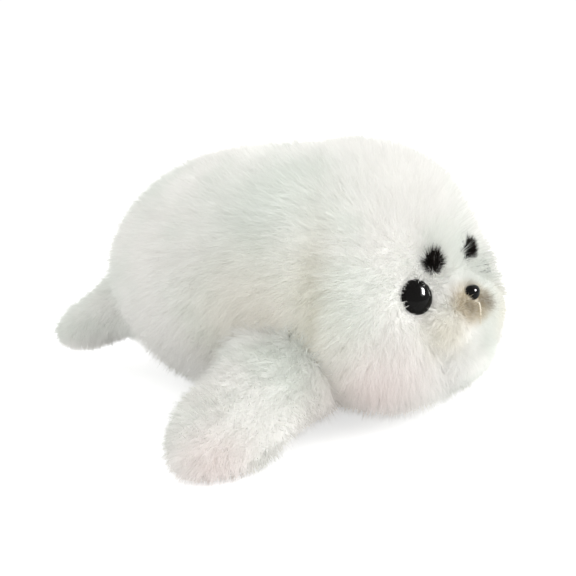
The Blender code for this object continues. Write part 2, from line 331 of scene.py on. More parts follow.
def plump(item):
    """Lets cloth under pressure settle, as a stuffed cover does, with each point kept near its place."""
    start = coordinates(item.data)
    cloth = item.modifiers.new("cloth", "CLOTH")
    cloth.settings.use_pressure = True
    cloth.settings.uniform_pressure_force = PRESSURE
    cloth.settings.effector_weights.gravity = 0
    scene = bpy.context.scene
    for step in range(1, CLOTH_FRAMES + 1):
        scene.frame_set(step)
    flatten(item)
    scene.frame_set(1)
    moves = coordinates(item.data) - start
    lengths = np.linalg.norm(moves, axis=1, keepdims=True)
    limited = moves * np.minimum(1, PLUMP_LIMIT / np.maximum(lengths, MERGE_DISTANCE))
    set_coordinates(item.data, start + limited)


def soft_copy(name, node, voxel, smoothing):
    """A CAD solid's outer shell as an even net of squares."""
    item = merged_copy(name, node)
    remesh = item.modifiers.new("even", "REMESH")
    remesh.mode = "VOXEL"
    remesh.voxel_size = voxel
    flatten(item)
    keep_largest_shell(item.data)
    smooth = item.modifiers.new("smooth", "SMOOTH")
    smooth.iterations = smoothing
    flatten(item)
    return item


def surface_tree(node):
    form = bmesh.new()
    form.from_mesh(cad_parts[node].data)
    tree = BVHTree.FromBMesh(form)
    form.free()
    return tree


def sink(item, depth):
    """Takes a cover in by the depth of its pile."""
    set_coordinates(item.data, coordinates(item.data) - normals(item.data) * depth)


def sink_on_body(item, depth, body):
    """As sink, and where the piece is sewn on, nearly to the body's cover under the body's pile."""
    places = coordinates(item.data)
    found = [body.find_nearest(place) for place in places]
    apart = np.array([hit[3] for hit in found])
    inward = -np.array([hit[1] for hit in found])
    sewn = (1 - eased(apart, 1 * MM, 7 * MM))[:, None]
    moves = -normals(item.data) * depth * (1 - sewn) + inward * (body_depth() - 1 * MM) * sewn
    set_coordinates(item.data, places + moves)


def comb(item, flow):
    """Stores which way the pile lies: the flow at each point, tousled a little and laid on the surface."""
    facing = normals(item.data)
    noise.seed_set(bpy.context.scene.seal_pile.seed)
    tousled = [noise.noise_vector(Vector(place) / TOUSLE_SIZE) for place in coordinates(item.data)]
    flow = flow + TOUSLE * np.array(tousled)
    across = flow - facing * np.sum(flow * facing, axis=1, keepdims=True)
    stored = item.data.attributes.new("comb", "FLOAT_VECTOR", "POINT")
    stored.data.foreach_set("vector", unit(across).astype(np.float32).ravel())


def away_from(places, source):
    return unit(places - np.array(source))


def clearing(name, centres):
    """Points that pile keeps clear of, each with its radius and how much pile is brushed away beside it."""
    mesh = bpy.data.meshes.new(name)
    mesh.from_pydata([centre for centre, _, _ in centres], [], [])
    for place, fact in ((1, "radius"), (2, "brush")):
        stored = mesh.attributes.new(fact, "FLOAT", "POINT")
        stored.data.foreach_set("value", [centre[place] for centre in centres])
    return add_object(name, mesh)


def single_strand():
    """A three-sided spike one unit long that leans forward. Across runs from -1 to 1 round its faces."""
    mesh = bpy.data.meshes.new("strand")
    tip = (0, STRAND_REACH, STRAND_RISE)
    mesh.from_pydata([(0.5, 0, 0), (0, 0, 0.03), (-0.5, 0, 0), tip], [], [(0, 3, 1), (1, 3, 2), (2, 3, 0)])
    along = mesh.attributes.new("along", "FLOAT", "POINT")
    along.data.foreach_set("value", [0, 0, 0, 1])
    across = mesh.attributes.new("across", "FLOAT", "CORNER")
    across.data.foreach_set("value", [share / 3 for share in (-3, -2, -1, -1, 0, 1, 1, 2, 3)])
    return add_object("strand", mesh)


PILE_INPUTS = {
    "NodeSocketGeometry": ("Geometry",),
    "NodeSocketObject": ("Strand", "Clearing"),
    "NodeSocketMaterial": ("Material",),
    "NodeSocketFloat": (
        *("Density", "Length", "Width", "Tuft spacing", "Tufting", "Unruliness"),
        *("Trim", "Lift", "Steepness", "Stray lift", "Floor"),
    ),
    "NodeSocketInt": ("Seed",),
}

# What the pile's tree reads from a cover, from the points of a clearing and from its own strands
PILE_ATTRIBUTES = {
    "FLOAT": ("open", "lift", "reach", "radius", "brush", "along", "across"),
    "FLOAT_VECTOR": ("comb", "cover_normal", "gather"),
    "INT": ("strand",),
}

# Limits and seed of what is drawn for each strand
STRAND_DRAWS = {
    "stray": ((-1, -1, -1), (1, 1, 1), 11),
    "ruffle": (-0.15, 0.2, 13),
    "rise": (0, 1, 19),
    "length": (0.65, 1.15, 15),
    "shade": (0, 0.6, 17),
}

# The same for what all strands of a tuft share
TUFT_DRAWS = {
    "stray": ((-0.5, -0.5, -0.5), (0.5, 0.5, 0.5), 12),
    "ruffle": (-0.08, 0.08, 14),
    "length": (0.78, 1.12, 16),
    "shade": (0, 0.4, 18),
}


def pile_tree():
    """Geometry nodes that grow pile on a cover along its comb attribute."""
    found = bpy.data.node_groups.get("Pile")
    if found:
        return found
    tree = bpy.data.node_groups.new("Pile", "GeometryNodeTree")
    for kind, names in PILE_INPUTS.items():
        for name in names:
            tree.interface.new_socket(name=name, in_out="INPUT", socket_type=kind)
    tree.interface.new_socket(name="Geometry", in_out="OUTPUT", socket_type="NodeSocketGeometry")
    node = partial(add_node, tree)
    given = node("NodeGroupInput").node.outputs
    place = node("GeometryNodeInputPosition")
    read = {}
    for kind, names in PILE_ATTRIBUTES.items():
        for name in names:
            read[name] = node("GeometryNodeInputNamedAttribute", {"Name": name}, data_type=kind)

    # Roots of the strands and the middles of the tufts
    thick = node(MATH, (given["Density"], read["open"]), operation="MULTIPLY")
    inputs = {"Mesh": given["Geometry"], "Density": thick, "Seed": given["Seed"]}
    roots = node("GeometryNodeDistributePointsOnFaces", inputs)
    inputs = {"Mesh": given["Geometry"], "Distance Min": given["Tuft spacing"], "Density Max": DENSEST_TUFTS}
    middles = node("GeometryNodeDistributePointsOnFaces", inputs, distribute_method="POISSON")
    tuft = node("GeometryNodeSampleNearest", {"Geometry": middles, "Sample Position": place})
    inputs = {"Geometry": middles, "Value": place, "Index": tuft}
    middle = node("GeometryNodeSampleIndex", inputs, data_type="FLOAT_VECTOR")
    to_tuft = node(VECTOR_MATH, (middle, place), operation="SUBTRACT")

    # Random numbers, each with its own seed
    own, shared = {}, {}
    for drawn, draws, key in ((own, STRAND_DRAWS, {}), (shared, TUFT_DRAWS, {"ID": tuft})):
        for name, (low, high, seed) in draws.items():
            inputs = {"Seed": node(MATH, (given["Seed"], seed), operation="ADD"), **key}
            if name == "stray":
                inputs.update({0: low, 1: high})
                drawn[name] = node("FunctionNodeRandomValue", inputs, 0, data_type="FLOAT_VECTOR")
            else:
                inputs.update({2: low, 3: high})
                drawn[name] = node("FunctionNodeRandomValue", inputs, 1, data_type="FLOAT")

    # What is bare, such as under an eye, and the short pile that is brushed away from it
    centres = node("GeometryNodeObjectInfo", {"Object": given["Clearing"]}, "Geometry")
    nearest = node("GeometryNodeSampleNearest", {"Geometry": centres, "Sample Position": place})
    facts = []
    for value, kind in ((place, "FLOAT_VECTOR"), (read["radius"], "FLOAT"), (read["brush"], "FLOAT")):
        inputs = {"Geometry": centres, "Value": value, "Index": nearest}
        facts.append(node("GeometryNodeSampleIndex", inputs, data_type=kind))
    centre, bare, brush = facts
    from_centre = node(VECTOR_MATH, (place, centre), operation="SUBTRACT")
    distance = node(VECTOR_MATH, (from_centre,), "Value", operation="LENGTH")
    far = node(MATH, (bare, 2), operation="MULTIPLY")
    near = node("ShaderNodeMapRange", (distance, bare, far, brush, 0), interpolation_type="SMOOTHSTEP")

    # Which way each strand lies
    strays = []
    for drawn in (own, shared):
        inputs = {0: drawn["stray"], "Scale": given["Unruliness"]}
        strays.append(node(VECTOR_MATH, inputs, operation="SCALE"))
    stray = node(VECTOR_MATH, strays, operation="ADD")
    outward = node(VECTOR_MATH, (from_centre,), operation="NORMALIZE")
    push = node(MATH, (near, BRUSH_PUSH), operation="MULTIPLY")
    brushed = node(VECTOR_MATH, {0: outward, "Scale": push}, operation="SCALE")
    aside = node(VECTOR_MATH, (stray, brushed), operation="ADD")
    way = node(VECTOR_MATH, (read["comb"], aside), operation="ADD")
    inputs = {"Rotation": roots.node.outputs["Rotation"], "Vector": way}
    turned = node("FunctionNodeAlignRotationToVector", inputs, axis="Y", pivot_axis="Z")

    # How far each strand stands up. The power leaves only a few strands that stray far
    few = node(MATH, (own["rise"], 4), operation="POWER")
    ruffled = node(MATH, (own["ruffle"], shared["ruffle"]), operation="ADD")
    ruffled = node(MATH, (few, given["Stray lift"], ruffled), operation="MULTIPLY_ADD")
    inputs = (read["lift"], given["Lift"], given["Steepness"])
    lifted = node(MATH, inputs, operation="MULTIPLY_ADD")
    tilt = node(MATH, (ruffled, lifted), operation="ADD")
    tilted = node("FunctionNodeAxisAngleToRotation", {"Axis": (1, 0, 0), "Angle": tilt})
    rotation = node("FunctionNodeRotateRotation", (turned, tilted), rotation_space="LOCAL")

    # How long each strand is
    trimmed = node("ShaderNodeMapRange", (near, 0, 1, 1, given["Trim"]), interpolation_type="SMOOTHSTEP")
    varied = node(MATH, (own["length"], shared["length"]), operation="MULTIPLY")
    shortened = node(MATH, (varied, trimmed), operation="MULTIPLY")
    length = node(MATH, (given["Length"], shortened), operation="MULTIPLY")
    length = node(MATH, (length, read["reach"]), operation="MULTIPLY")
    size = node("ShaderNodeCombineXYZ", (given["Width"], length, length))

    # Strands on their roots, with what their material and their shading read
    points = roots
    for name, value, kind in (
        ("strand", node("GeometryNodeInputIndex"), "INT"),
        ("shade", node(MATH, (own["shade"], shared["shade"]), operation="ADD"), "FLOAT"),
        ("cover_normal", roots.node.outputs["Normal"], "FLOAT_VECTOR"),
        ("gather", to_tuft, "FLOAT_VECTOR"),
    ):
        inputs = {"Geometry": points, "Name": name, "Value": value}
        points = node("GeometryNodeStoreNamedAttribute", inputs, data_type=kind)
    inputs = {
        "Points": points,
        "Selection": node(MATH, (distance, bare), operation="GREATER_THAN"),
        "Instance": node("GeometryNodeObjectInfo", {"Object": given["Strand"]}, "Geometry"),
        "Rotation": rotation,
        "Scale": size,
    }
    grown = node("GeometryNodeInstanceOnPoints", inputs)
    mesh = node("GeometryNodeRealizeInstances", {"Geometry": grown})

    # Tips gather to the middle of their tuft, and nothing goes through the floor
    share = node(MATH, (read["along"], given["Tufting"]), operation="MULTIPLY")
    moved = node(VECTOR_MATH, {0: read["gather"], "Scale": share}, operation="SCALE")
    gathered = node(VECTOR_MATH, (place, moved), operation="ADD")
    lowest = node("ShaderNodeCombineXYZ", (-FAR_AWAY, -FAR_AWAY, given["Floor"]))
    rested = node(VECTOR_MATH, (gathered, lowest), operation="MAXIMUM")
    mesh = node("GeometryNodeSetPosition", {"Geometry": mesh, "Position": rested})

    # Each strand's own cell in the map
    column = node(MATH, (read["strand"], MAP_CELLS), operation="MODULO")
    row = node(MATH, (read["strand"], MAP_CELLS), operation="DIVIDE")
    row = node(MATH, (row,), operation="FLOOR")
    right = node(MATH, (read["across"], CELL_FILL / 2, 0.5), operation="MULTIPLY_ADD")
    right = node(MATH, (column, right), operation="ADD")
    up = node(MATH, (read["along"], CELL_FILL, (1 - CELL_FILL) / 2), operation="MULTIPLY_ADD")
    up = node(MATH, (row, up), operation="ADD")
    cell = node("ShaderNodeCombineXYZ", (right, up))
    cell = node(VECTOR_MATH, {0: cell, "Scale": 1 / MAP_CELLS}, operation="SCALE")
    inputs = {"Geometry": mesh, "Name": "OFBake", "Value": cell}
    mesh = node("GeometryNodeStoreNamedAttribute", inputs, data_type="FLOAT2", domain="CORNER")

    # Light falls on a strand much as on the cover under it, because fine fibres pass it on
    inputs = {0: node("GeometryNodeInputNormal"), "Scale": OWN_SHADING}
    facing = node(VECTOR_MATH, inputs, operation="SCALE")
    facing = node(VECTOR_MATH, (read["cover_normal"], facing), operation="ADD")
    facing = node(VECTOR_MATH, (facing,), operation="NORMALIZE")
    inputs = {"Mesh": mesh, "Custom Normal": facing}
    mesh = node("GeometryNodeSetMeshNormal", inputs, mode="FREE", domain="POINT")
    mesh = node("GeometryNodeSetMaterial", {"Geometry": mesh, "Material": given["Material"]})
    node("NodeGroupOutput", {"Geometry": mesh})
    return tree


def distance_to(places, trees):
    return np.array([min(tree.find_nearest(place)[3] for tree in trees) for place in places])


def prepare(item, apart, lift=0, reach=1, inside=1):
    """Stores where pile grows, apart from what a cover is sewn to, how far it stands up and its length."""
    opened = inside * eased(apart, SEAM_GAP, 2 * SEAM_GAP)
    for name, share in (("open", opened), ("lift", lift), ("reach", reach)):
        store_share(item, name, share + np.zeros(len(item.data.vertices)))


def store_share(item, name, share):
    stored = item.data.attributes.new(name, "FLOAT", "POINT")
    stored.data.foreach_set("value", share.astype(np.float32))


def grow_pile(name, cover, values):
    """A piece of pile on a cover, made by the nodes and then a plain mesh."""
    item = add_object(name, cover.data.copy())
    grower = item.modifiers.new("pile", "NODES")
    tree = pile_tree()
    grower.node_group = tree
    for socket in tree.interface.items_tree:
        if socket.in_out == "INPUT" and socket.name in values:
            grower[socket.identifier] = values[socket.name]
    flatten(item)
    for spare in ("comb", "open", "lift", "reach", "cover_normal", "gather", "strand"):
        stored = item.data.attributes.get(spare)
        if stored:
            item.data.attributes.remove(stored)
    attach(item, BODY)
    return item


def grow_layers(name, cover, count, slot_name, look, centres=NOTHING_BARE, seed=0, **changes):
    """Pile in layers, each its own piece. Only the first shades what lies under it, as fine fibres do."""
    settings = bpy.context.scene.seal_pile
    bare = clearing(f"{name}_clearing", centres)
    values = {
        "Strand": bpy.data.objects["strand"],
        "Clearing": bare,
        "Material": look,
        "Length": settings.body_length,
        "Width": settings.strand_width,
        "Tuft spacing": settings.tuft_spacing,
        "Tufting": 0.55,
        "Unruliness": 0.32,
        "Trim": 0.5,
        "Lift": 0.85,
        "Steepness": 0.0,
        "Stray lift": 0.8,
        "Floor": 0.3 * MM,
        **changes,
    }
    values["Density"] = settings.density * PER_SQUARE_CM * values.get("Density", 1) / count
    for layer in range(count):
        values["Seed"] = settings.seed + seed + layer
        pile = grow_pile(name if count == 1 else f"{name}_{layer + 1}", cover, values)
        pile.visible_shadow = pile.visible_diffuse = layer == 0
    bpy.data.objects.remove(bare)


def tinted(tree, colour, mask, strength, tint):
    """A colour with a tint over it, through a mask and up to a strength."""
    share = add_node(tree, MATH, (mask, strength), operation="MULTIPLY")
    return add_node(tree, "ShaderNodeMix", {0: share, 6: colour, 7: tint}, 2, data_type="RGBA")


def patches(tree, place, size, low, high):
    """A smooth mask in patches of about a size, for a share of the surface."""
    mottle = add_node(tree, "ShaderNodeTexNoise", {"Vector": place, "Scale": 1 / size, "Detail": 3})
    inputs = {"Value": mottle, "From Min": low, "From Max": high}
    return add_node(tree, "ShaderNodeMapRange", inputs, interpolation_type="SMOOTHSTEP")


def spot(tree, place, centre, inner, outer, stretch=(1, 1, 1)):
    """1 within the inner distance of a point and 0 past the outer one. The stretch divides each axis."""
    apart = add_node(tree, VECTOR_MATH, (place, centre), operation="SUBTRACT")
    apart = add_node(tree, VECTOR_MATH, (apart, stretch), operation="DIVIDE")
    distance = add_node(tree, VECTOR_MATH, (apart,), "Value", operation="LENGTH")
    inputs = {"Value": distance, "From Min": inner, "From Max": outer, "To Min": 1, "To Max": 0}
    return add_node(tree, "ShaderNodeMapRange", inputs, interpolation_type="SMOOTHSTEP")


def pile_colour(tree, place, tints):
    """Off-white with cool patches, a beige tint along the fold behind the cheeks that is partly the pile's
    own tint and partly painted shade in the crease, and pinkish low on the cheeks.
    """
    colours = bpy.context.scene.seal_colours
    colour = tinted(tree, colours.pile, patches(tree, place, 60 * MM, 0.42, 0.66), 0.6, colours.grey)
    # Painted shade: the fold's mask darkens the pile towards beige in the crease behind the cheeks, on top of
    # the fold's real depth
    fold = add_node(tree, "ShaderNodeAttribute", output="Fac", attribute_name="fold")
    colour = tinted(tree, colour, fold, 0.4, colours.beige)
    for side in SIDES.values():
        for centre, reach, strength, tint in (
            (CHEEK_BLUSH, 55 * MM, 0.7, colours.cream),
            (FLIPPER_BLUSH, 35 * MM, 0.6, colours.cream),
            (MUZZLE_BLUSH, 24 * MM, 0.6, colours.beige),
            (BACK_TINT, 70 * MM, 0.7, colours.grey),
        ):
            mask = spot(tree, place, (side * centre[0], centre[1], centre[2]), 0, reach)
            colour = tinted(tree, colour, mask, strength, tint)
    return tints(tree, place, colour) if tints else colour


def nose_tints(tree, place, colour):
    """Warmer flanks, tan sprayed around the nose, and a brown smudge on each side under it."""
    colours = bpy.context.scene.seal_colours
    for side in SIDES.values():
        mask = spot(tree, place, (side * FLANK_TINT[0], FLANK_TINT[1], FLANK_TINT[2]), 0, 75 * MM)
        colour = tinted(tree, colour, mask, 0.45, colours.beige)
    front = Vector((0, NOSE_LOW.y, (NOSE_LOW.z + NOSE_HIGH.z) / 2))
    flecks = patches(tree, place, 3 * MM, 0.3, 0.6)
    uneven = add_node(tree, MATH, (flecks, 0.35, 0.65), operation="MULTIPLY_ADD")
    sprayed = [((-4, 0, -2), 6, 15, (1.5, 2, 1), 0.85, colours.tan)]
    sprayed += [
        ((side * 9, 0, height), 0, reach, (1, 2, 1), strength, colours.brown)
        for side, height, reach, strength in ((0, -1, 10, 0.45), (-1, -3, 8, 0.5), (1, -3, 8, 0.6))
    ]
    for offset, inner, outer, stretch, strength, tint in sprayed:
        mask = spot(tree, place, front + Vector(offset) * MM, inner * MM, outer * MM, stretch)
        mask = add_node(tree, MATH, (mask, uneven), operation="MULTIPLY")
        colour = tinted(tree, colour, mask, strength, tint)
    return colour


def tuft_dye(tree, place, colour):
    """Black where the tuft's strands are rooted, and as the body's backing round them."""
    rooted = add_node(tree, "ShaderNodeAttribute", output="Fac", attribute_name="open")
    return tinted(tree, colour, rooted, 1, bpy.context.scene.seal_colours.black_pile)


def strand_tone(tree, colour, root_shade, spread):
    """Darker at the root, where fibres shade each other, and a little different from strand to strand."""
    tones = []
    for fact, darkest in (("along", root_shade), ("shade", 1 - spread)):
        value = add_node(tree, "ShaderNodeAttribute", output="Fac", attribute_name=fact)
        tones.append(add_node(tree, "ShaderNodeMapRange", (value, 0, 1, darkest, 1)))
    level = add_node(tree, MATH, tones, operation="MULTIPLY")
    grey = add_node(tree, "ShaderNodeCombineColor", (level, level, level))
    inputs = {0: 1, 6: colour, 7: grey}
    return add_node(tree, "ShaderNodeMix", inputs, 2, data_type="RGBA", blend_type="MULTIPLY")


def acrylic_pile(tree, tints=None):
    """Acrylic pile: matt, pale fibres whose edges catch a little light."""
    place = add_node(tree, "ShaderNodeTexCoord", output="Object")
    colour = strand_tone(tree, pile_colour(tree, place, tints), 0.97, 0.12)
    inputs = {"Base Color": colour, "Roughness": 0.75, "Specular IOR Level": 0.2, "Sheen Weight": 0.1}
    return add_node(tree, "ShaderNodeBsdfPrincipled", inputs)


def backing_cloth(tree, tints=None):
    """Knitted backing of the plush, seen only between strands, with the stubble of the pile as its bump."""
    place = add_node(tree, "ShaderNodeTexCoord", output="Object")
    stubble = add_node(tree, "ShaderNodeTexNoise", {"Vector": place, "Scale": 1 / (1.2 * MM), "Detail": 2})
    bump = add_node(tree, "ShaderNodeBump", {"Height": stubble, "Distance": 0.5 * MM, "Strength": 0.6})
    inputs = {"Base Color": pile_colour(tree, place, tints), "Roughness": 0.95, "Normal": bump}
    return add_node(tree, "ShaderNodeBsdfPrincipled", inputs)


def black_pile(tree):
    """Dyed black acrylic: nearly black, going brown where the tips thin out."""
    colours = bpy.context.scene.seal_colours
    along = add_node(tree, "ShaderNodeAttribute", output="Fac", attribute_name="along")
    tip = add_node(tree, "ShaderNodeMapRange", {"Value": along, "From Min": 0.6, "From Max": 1})
    colour = tinted(tree, colours.black_pile, tip, 0.35, colours.brown)
    inputs = {"Base Color": colour, "Roughness": 0.7, "Specular IOR Level": 0.2}
    return add_node(tree, "ShaderNodeBsdfPrincipled", inputs)


def polished_plastic(tree):
    """Injection-moulded acrylic, polished: deep black with sharp reflections and hardly any marks."""
    place = add_node(tree, "ShaderNodeTexCoord", output="Object")
    haze = add_node(tree, "ShaderNodeTexNoise", {"Vector": place, "Scale": 1 / (4 * MM), "Detail": 3})
    rough = add_node(tree, "ShaderNodeMapRange", (haze, 0.3, 0.7, 0.04, 0.09))
    colour = bpy.context.scene.seal_colours.plastic
    inputs = {"Base Color": colour, "Roughness": rough, "IOR": 1.49, "Specular IOR Level": 0.1}
    return add_node(tree, "ShaderNodeBsdfPrincipled", inputs)


def washer_plastic(tree):
    """Moulded polypropylene: milky and slightly waxy."""
    place = add_node(tree, "ShaderNodeTexCoord", output="Object")
    grain = add_node(tree, "ShaderNodeTexNoise", {"Vector": place, "Scale": 1 / (0.8 * MM), "Detail": 2})
    bump = add_node(tree, "ShaderNodeBump", {"Height": grain, "Distance": 0.05 * MM, "Strength": 0.5})
    inputs = {"Base Color": linear("#E4E4E0"), "Roughness": 0.45, "IOR": 1.49, "Normal": bump}
    return add_node(tree, "ShaderNodeBsdfPrincipled", inputs)


def twisted_thread(tree):
    """Polyester thread: the ply's slanted turns show as fine bands."""
    place = add_node(tree, "ShaderNodeTexCoord", output="Object")
    turned = add_node(tree, "ShaderNodeMapping", {"Vector": place, "Rotation": (0, math.radians(35), 0)})
    inputs = {"Vector": turned, "Scale": 1 / (3 * MM)}
    ply = add_node(tree, "ShaderNodeTexWave", inputs, "Fac", bands_direction="Z")
    bump = add_node(tree, "ShaderNodeBump", {"Height": ply, "Distance": 0.15 * MM, "Strength": 0.7})
    colour = bpy.context.scene.seal_colours.thread
    inputs = {"Base Color": colour, "Roughness": 0.6, "Sheen Weight": 0.2, "Normal": bump}
    return add_node(tree, "ShaderNodeBsdfPrincipled", inputs)


def material(name, make, *given):
    """The material of that name, made once. Its maker gives the shader."""
    made = bpy.data.materials.get(name)
    if not made:
        made = bpy.data.materials.new(name)
        made.use_nodes = True
        made.node_tree.nodes.clear()
        add_node(made.node_tree, "ShaderNodeOutputMaterial", {"Surface": make(made.node_tree, *given)})
    return made


def dress(item, look, slot_name, *nodes):
    item.data.materials.clear()
    item.data.materials.append(look)
    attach(item, BODY)
    if nodes:
        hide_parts(*nodes)


class SEAL_OT_body(bpy.types.Operator):
    """Makes the stuffed body's cover and its long pile"""

    bl_idname = "seal.body"
    bl_label = "Body"

    def execute(self, context):
        settings = context.scene.seal_pile
        cover = soft_copy("body_cover", "body", BODY_VOXEL, 6)
        close_over_eyes(cover)
        sewn_on = [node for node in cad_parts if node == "muzzle" or "flipper" in node]
        places = coordinates(cover.data)
        lift, reach = rim_lift(places)
        under = eased(-normals(cover.data)[:, 2], 0, 0.6)
        apart = distance_to(places, [surface_tree(node) for node in sewn_on])
        prepare(cover, apart, np.maximum(lift, hanging(cover)), reach)
        fold = neck_fold(places)
        sink(cover, body_depth() + (FOLD_DEPTH * fold + UNDER_DEPTH * under)[:, None])
        plump(cover)
        # The fold's mask is kept for the colour, which paints shade along the crease with it
        store_share(cover, "fold", fold)
        comb(cover, body_flow(coordinates(cover.data)))
        dress(cover, material("body_backing", backing_cloth, nose_tints), "white_pile", "body")
        look = material("body_acrylic_pile", acrylic_pile, nose_tints)
        centres = eye_centres() + brow_centres()
        grow_layers("body_pile", cover, settings.layers, "white_pile", look, centres)
        return {"FINISHED"}


def body_depth():
    """How deep the body's cover lies under the outer face of its pile."""
    return 0.5 * bpy.context.scene.seal_pile.body_length


def eye_centres():
    centres = []
    for label in SIDES:
        low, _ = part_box(f"eye_{label}")
        places = coordinates(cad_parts[f"eye_{label}"].data)
        dome = places[places[:, 1] < low.y + EYE_DOME_DEPTH]
        centres.append((tuple((dome.min(0) + dome.max(0)) / 2), EYE_CLEARING, EYE_BRUSH[label]))
    return centres


def brow_centres():
    """Points beside the tufts' roots, further back by what the long pile leans forward there."""
    return [(tuple(brow_middle(label) + Vector((0, 4 * MM, 0))), BROW_CLEARING, 0) for label in SIDES]


def brow_middle(label):
    """The middle of a tuft's roots, further over than its solid's by twice the sag."""
    low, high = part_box(f"brow_{label}")
    return (low + high) / 2 - 2 * Vector(BROW_SAG)


def close_over_eyes(cover):
    """Draws the cover tight where the seats of the eyes are open, because the cloth runs on under them."""
    form = bmesh.new()
    form.from_mesh(cover.data)
    centres = [Vector(centre) for centre, _, _ in eye_centres()]
    apart = {corner: min((corner.co - centre).length for centre in centres) for corner in form.verts}
    loose = [corner for corner in form.verts if apart[corner] < EYE_TIGHT]
    axes = {"use_axis_x": True, "use_axis_y": True, "use_axis_z": True}
    for _ in range(TIGHTENING):
        bmesh.ops.smooth_vert(form, verts=loose, factor=0.5, **axes)
    form.to_mesh(cover.data)
    form.free()


def rim_lift(places):
    """How far pile stands up round each eye and how long it is: most between the left eye and the nose."""
    lift = np.zeros(len(places))
    reach = np.ones(len(places))
    for label, (centre, radius, _) in zip(SIDES, eye_centres()):
        apart = places - np.array(centre)
        near = 1 - eased(np.linalg.norm(apart, axis=1), radius, 2 * radius)
        inner = eased(-apart[:, 0] * SIDES[label], -1 * MM, 7 * MM)
        outer_lift, inner_lift = RIM_LIFTS[label]
        lift = np.maximum(lift, near * (outer_lift + (inner_lift - outer_lift) * inner))
        reach += near * RIM_LONGER[label] * inner
    return lift, reach


def hanging(cover):
    """How far pile stands off where the cover faces down, as it hangs there."""
    return 0.6 * eased(-normals(cover.data)[:, 2], 0, 0.6)


def neck_fold(places):
    """1 along the soft fold behind the cheeks, which leans back and fades out at the top."""
    height = places[:, 2]
    across = (places[:, 1] - FOLD_Y - FOLD_LEAN * eased(height, 115 * MM, 155 * MM)) / FOLD_WIDTH
    return np.exp(-across * across) * (1 - eased(height, 100 * MM, 150 * MM))


def body_flow(places):
    """Away from the face on the head, drooping on the cheeks, and back and down on the trunk."""
    trunk = eased(places[:, 1], BODY_LOW.y + 60 * MM, BODY_LOW.y + 130 * MM)[:, None]
    droop = (1 - eased(places[:, 2], 25 * MM, 120 * MM))[:, None] * np.array([[0, 0, -1.3]])
    flow = away_from(places, HEAD_SOURCE) * (1 - trunk) + away_from(places, TRUNK_SOURCE) * trunk
    return flow + droop * (1 - 0.5 * trunk)


class SEAL_OT_muzzle(bpy.types.Operator):
    """Makes the muzzle's cover and its short pile, sprayed tan around the nose"""

    bl_idname = "seal.muzzle"
    bl_label = "Muzzle"

    def execute(self, context):
        settings = context.scene.seal_pile
        cover = soft_copy("muzzle_cover", "muzzle", MUZZLE_VOXEL, 4)
        body = surface_tree("body")
        apart = distance_to(coordinates(cover.data), [body])
        reach = 1 + 0.9 * (1 - eased(apart, 1 * MM, 12 * MM))
        prepare(cover, apart, reach=reach)
        sink_on_body(cover, 0.55 * settings.muzzle_length, body)
        comb(cover, away_from(coordinates(cover.data), MUZZLE_SOURCE) + np.array([[0, 0, -0.3]]))
        dress(cover, material("muzzle_backing", backing_cloth, nose_tints), "short_pile", "muzzle")
        nose = ((0, NOSE_LOW.y + 3 * MM, NOSE_HIGH.z - 6 * MM), 5.4 * MM, 1)
        look = material("short_acrylic_pile", acrylic_pile, nose_tints)
        changes = {
            "Density": 3,
            "Length": settings.muzzle_length,
            "Tuft spacing": 0.6 * settings.tuft_spacing,
            "Unruliness": 0.3,
            "Steepness": 0.1,
            "Tufting": 0.25,
            "Trim": 0.8,
        }
        grow_layers("muzzle_pile", cover, 3, "short_pile", look, [nose], 1000, **changes)
        return {"FINISHED"}


class SEAL_OT_flippers(bpy.types.Operator):
    """Makes the covers and the pile of the four flippers"""

    bl_idname = "seal.flippers"
    bl_label = "Flippers"

    def execute(self, context):
        settings = context.scene.seal_pile
        body = surface_tree("body")
        look = material("long_acrylic_pile", acrylic_pile)
        backing = material("backing_cloth", backing_cloth)
        names = [f"{end}_flipper_{label}" for end in ("front", "rear") for label in SIDES]
        for step, node in enumerate(names):
            cover = soft_copy(f"{node}_cover", node, FLIPPER_VOXEL, 4)
            places = coordinates(cover.data)
            apart = distance_to(places, [body])
            reach = 1 + 0.4 * (1 - eased(apart, 1 * MM, 12 * MM))
            prepare(cover, apart, hanging(cover), reach)
            root = places[apart < 2 * MM].mean(0)
            tip = places[apart > 0.9 * apart.max()].mean(0)
            sink_on_body(cover, 0.5 * settings.flipper_length, body)
            plump(cover)
            source = root - unit(tip - root) * 60 * MM
            comb(cover, away_from(coordinates(cover.data), source) + np.array([[0, 0, -0.25]]))
            dress(cover, backing, "white_pile", node)
            changes = {"Length": settings.flipper_length, "Density": 1.1, "Tufting": 0.4}
            seed = 2000 + 100 * step
            grow_layers(f"{node}_pile", cover, 3, "white_pile", look, seed=seed, **changes)
        return {"FINISHED"}


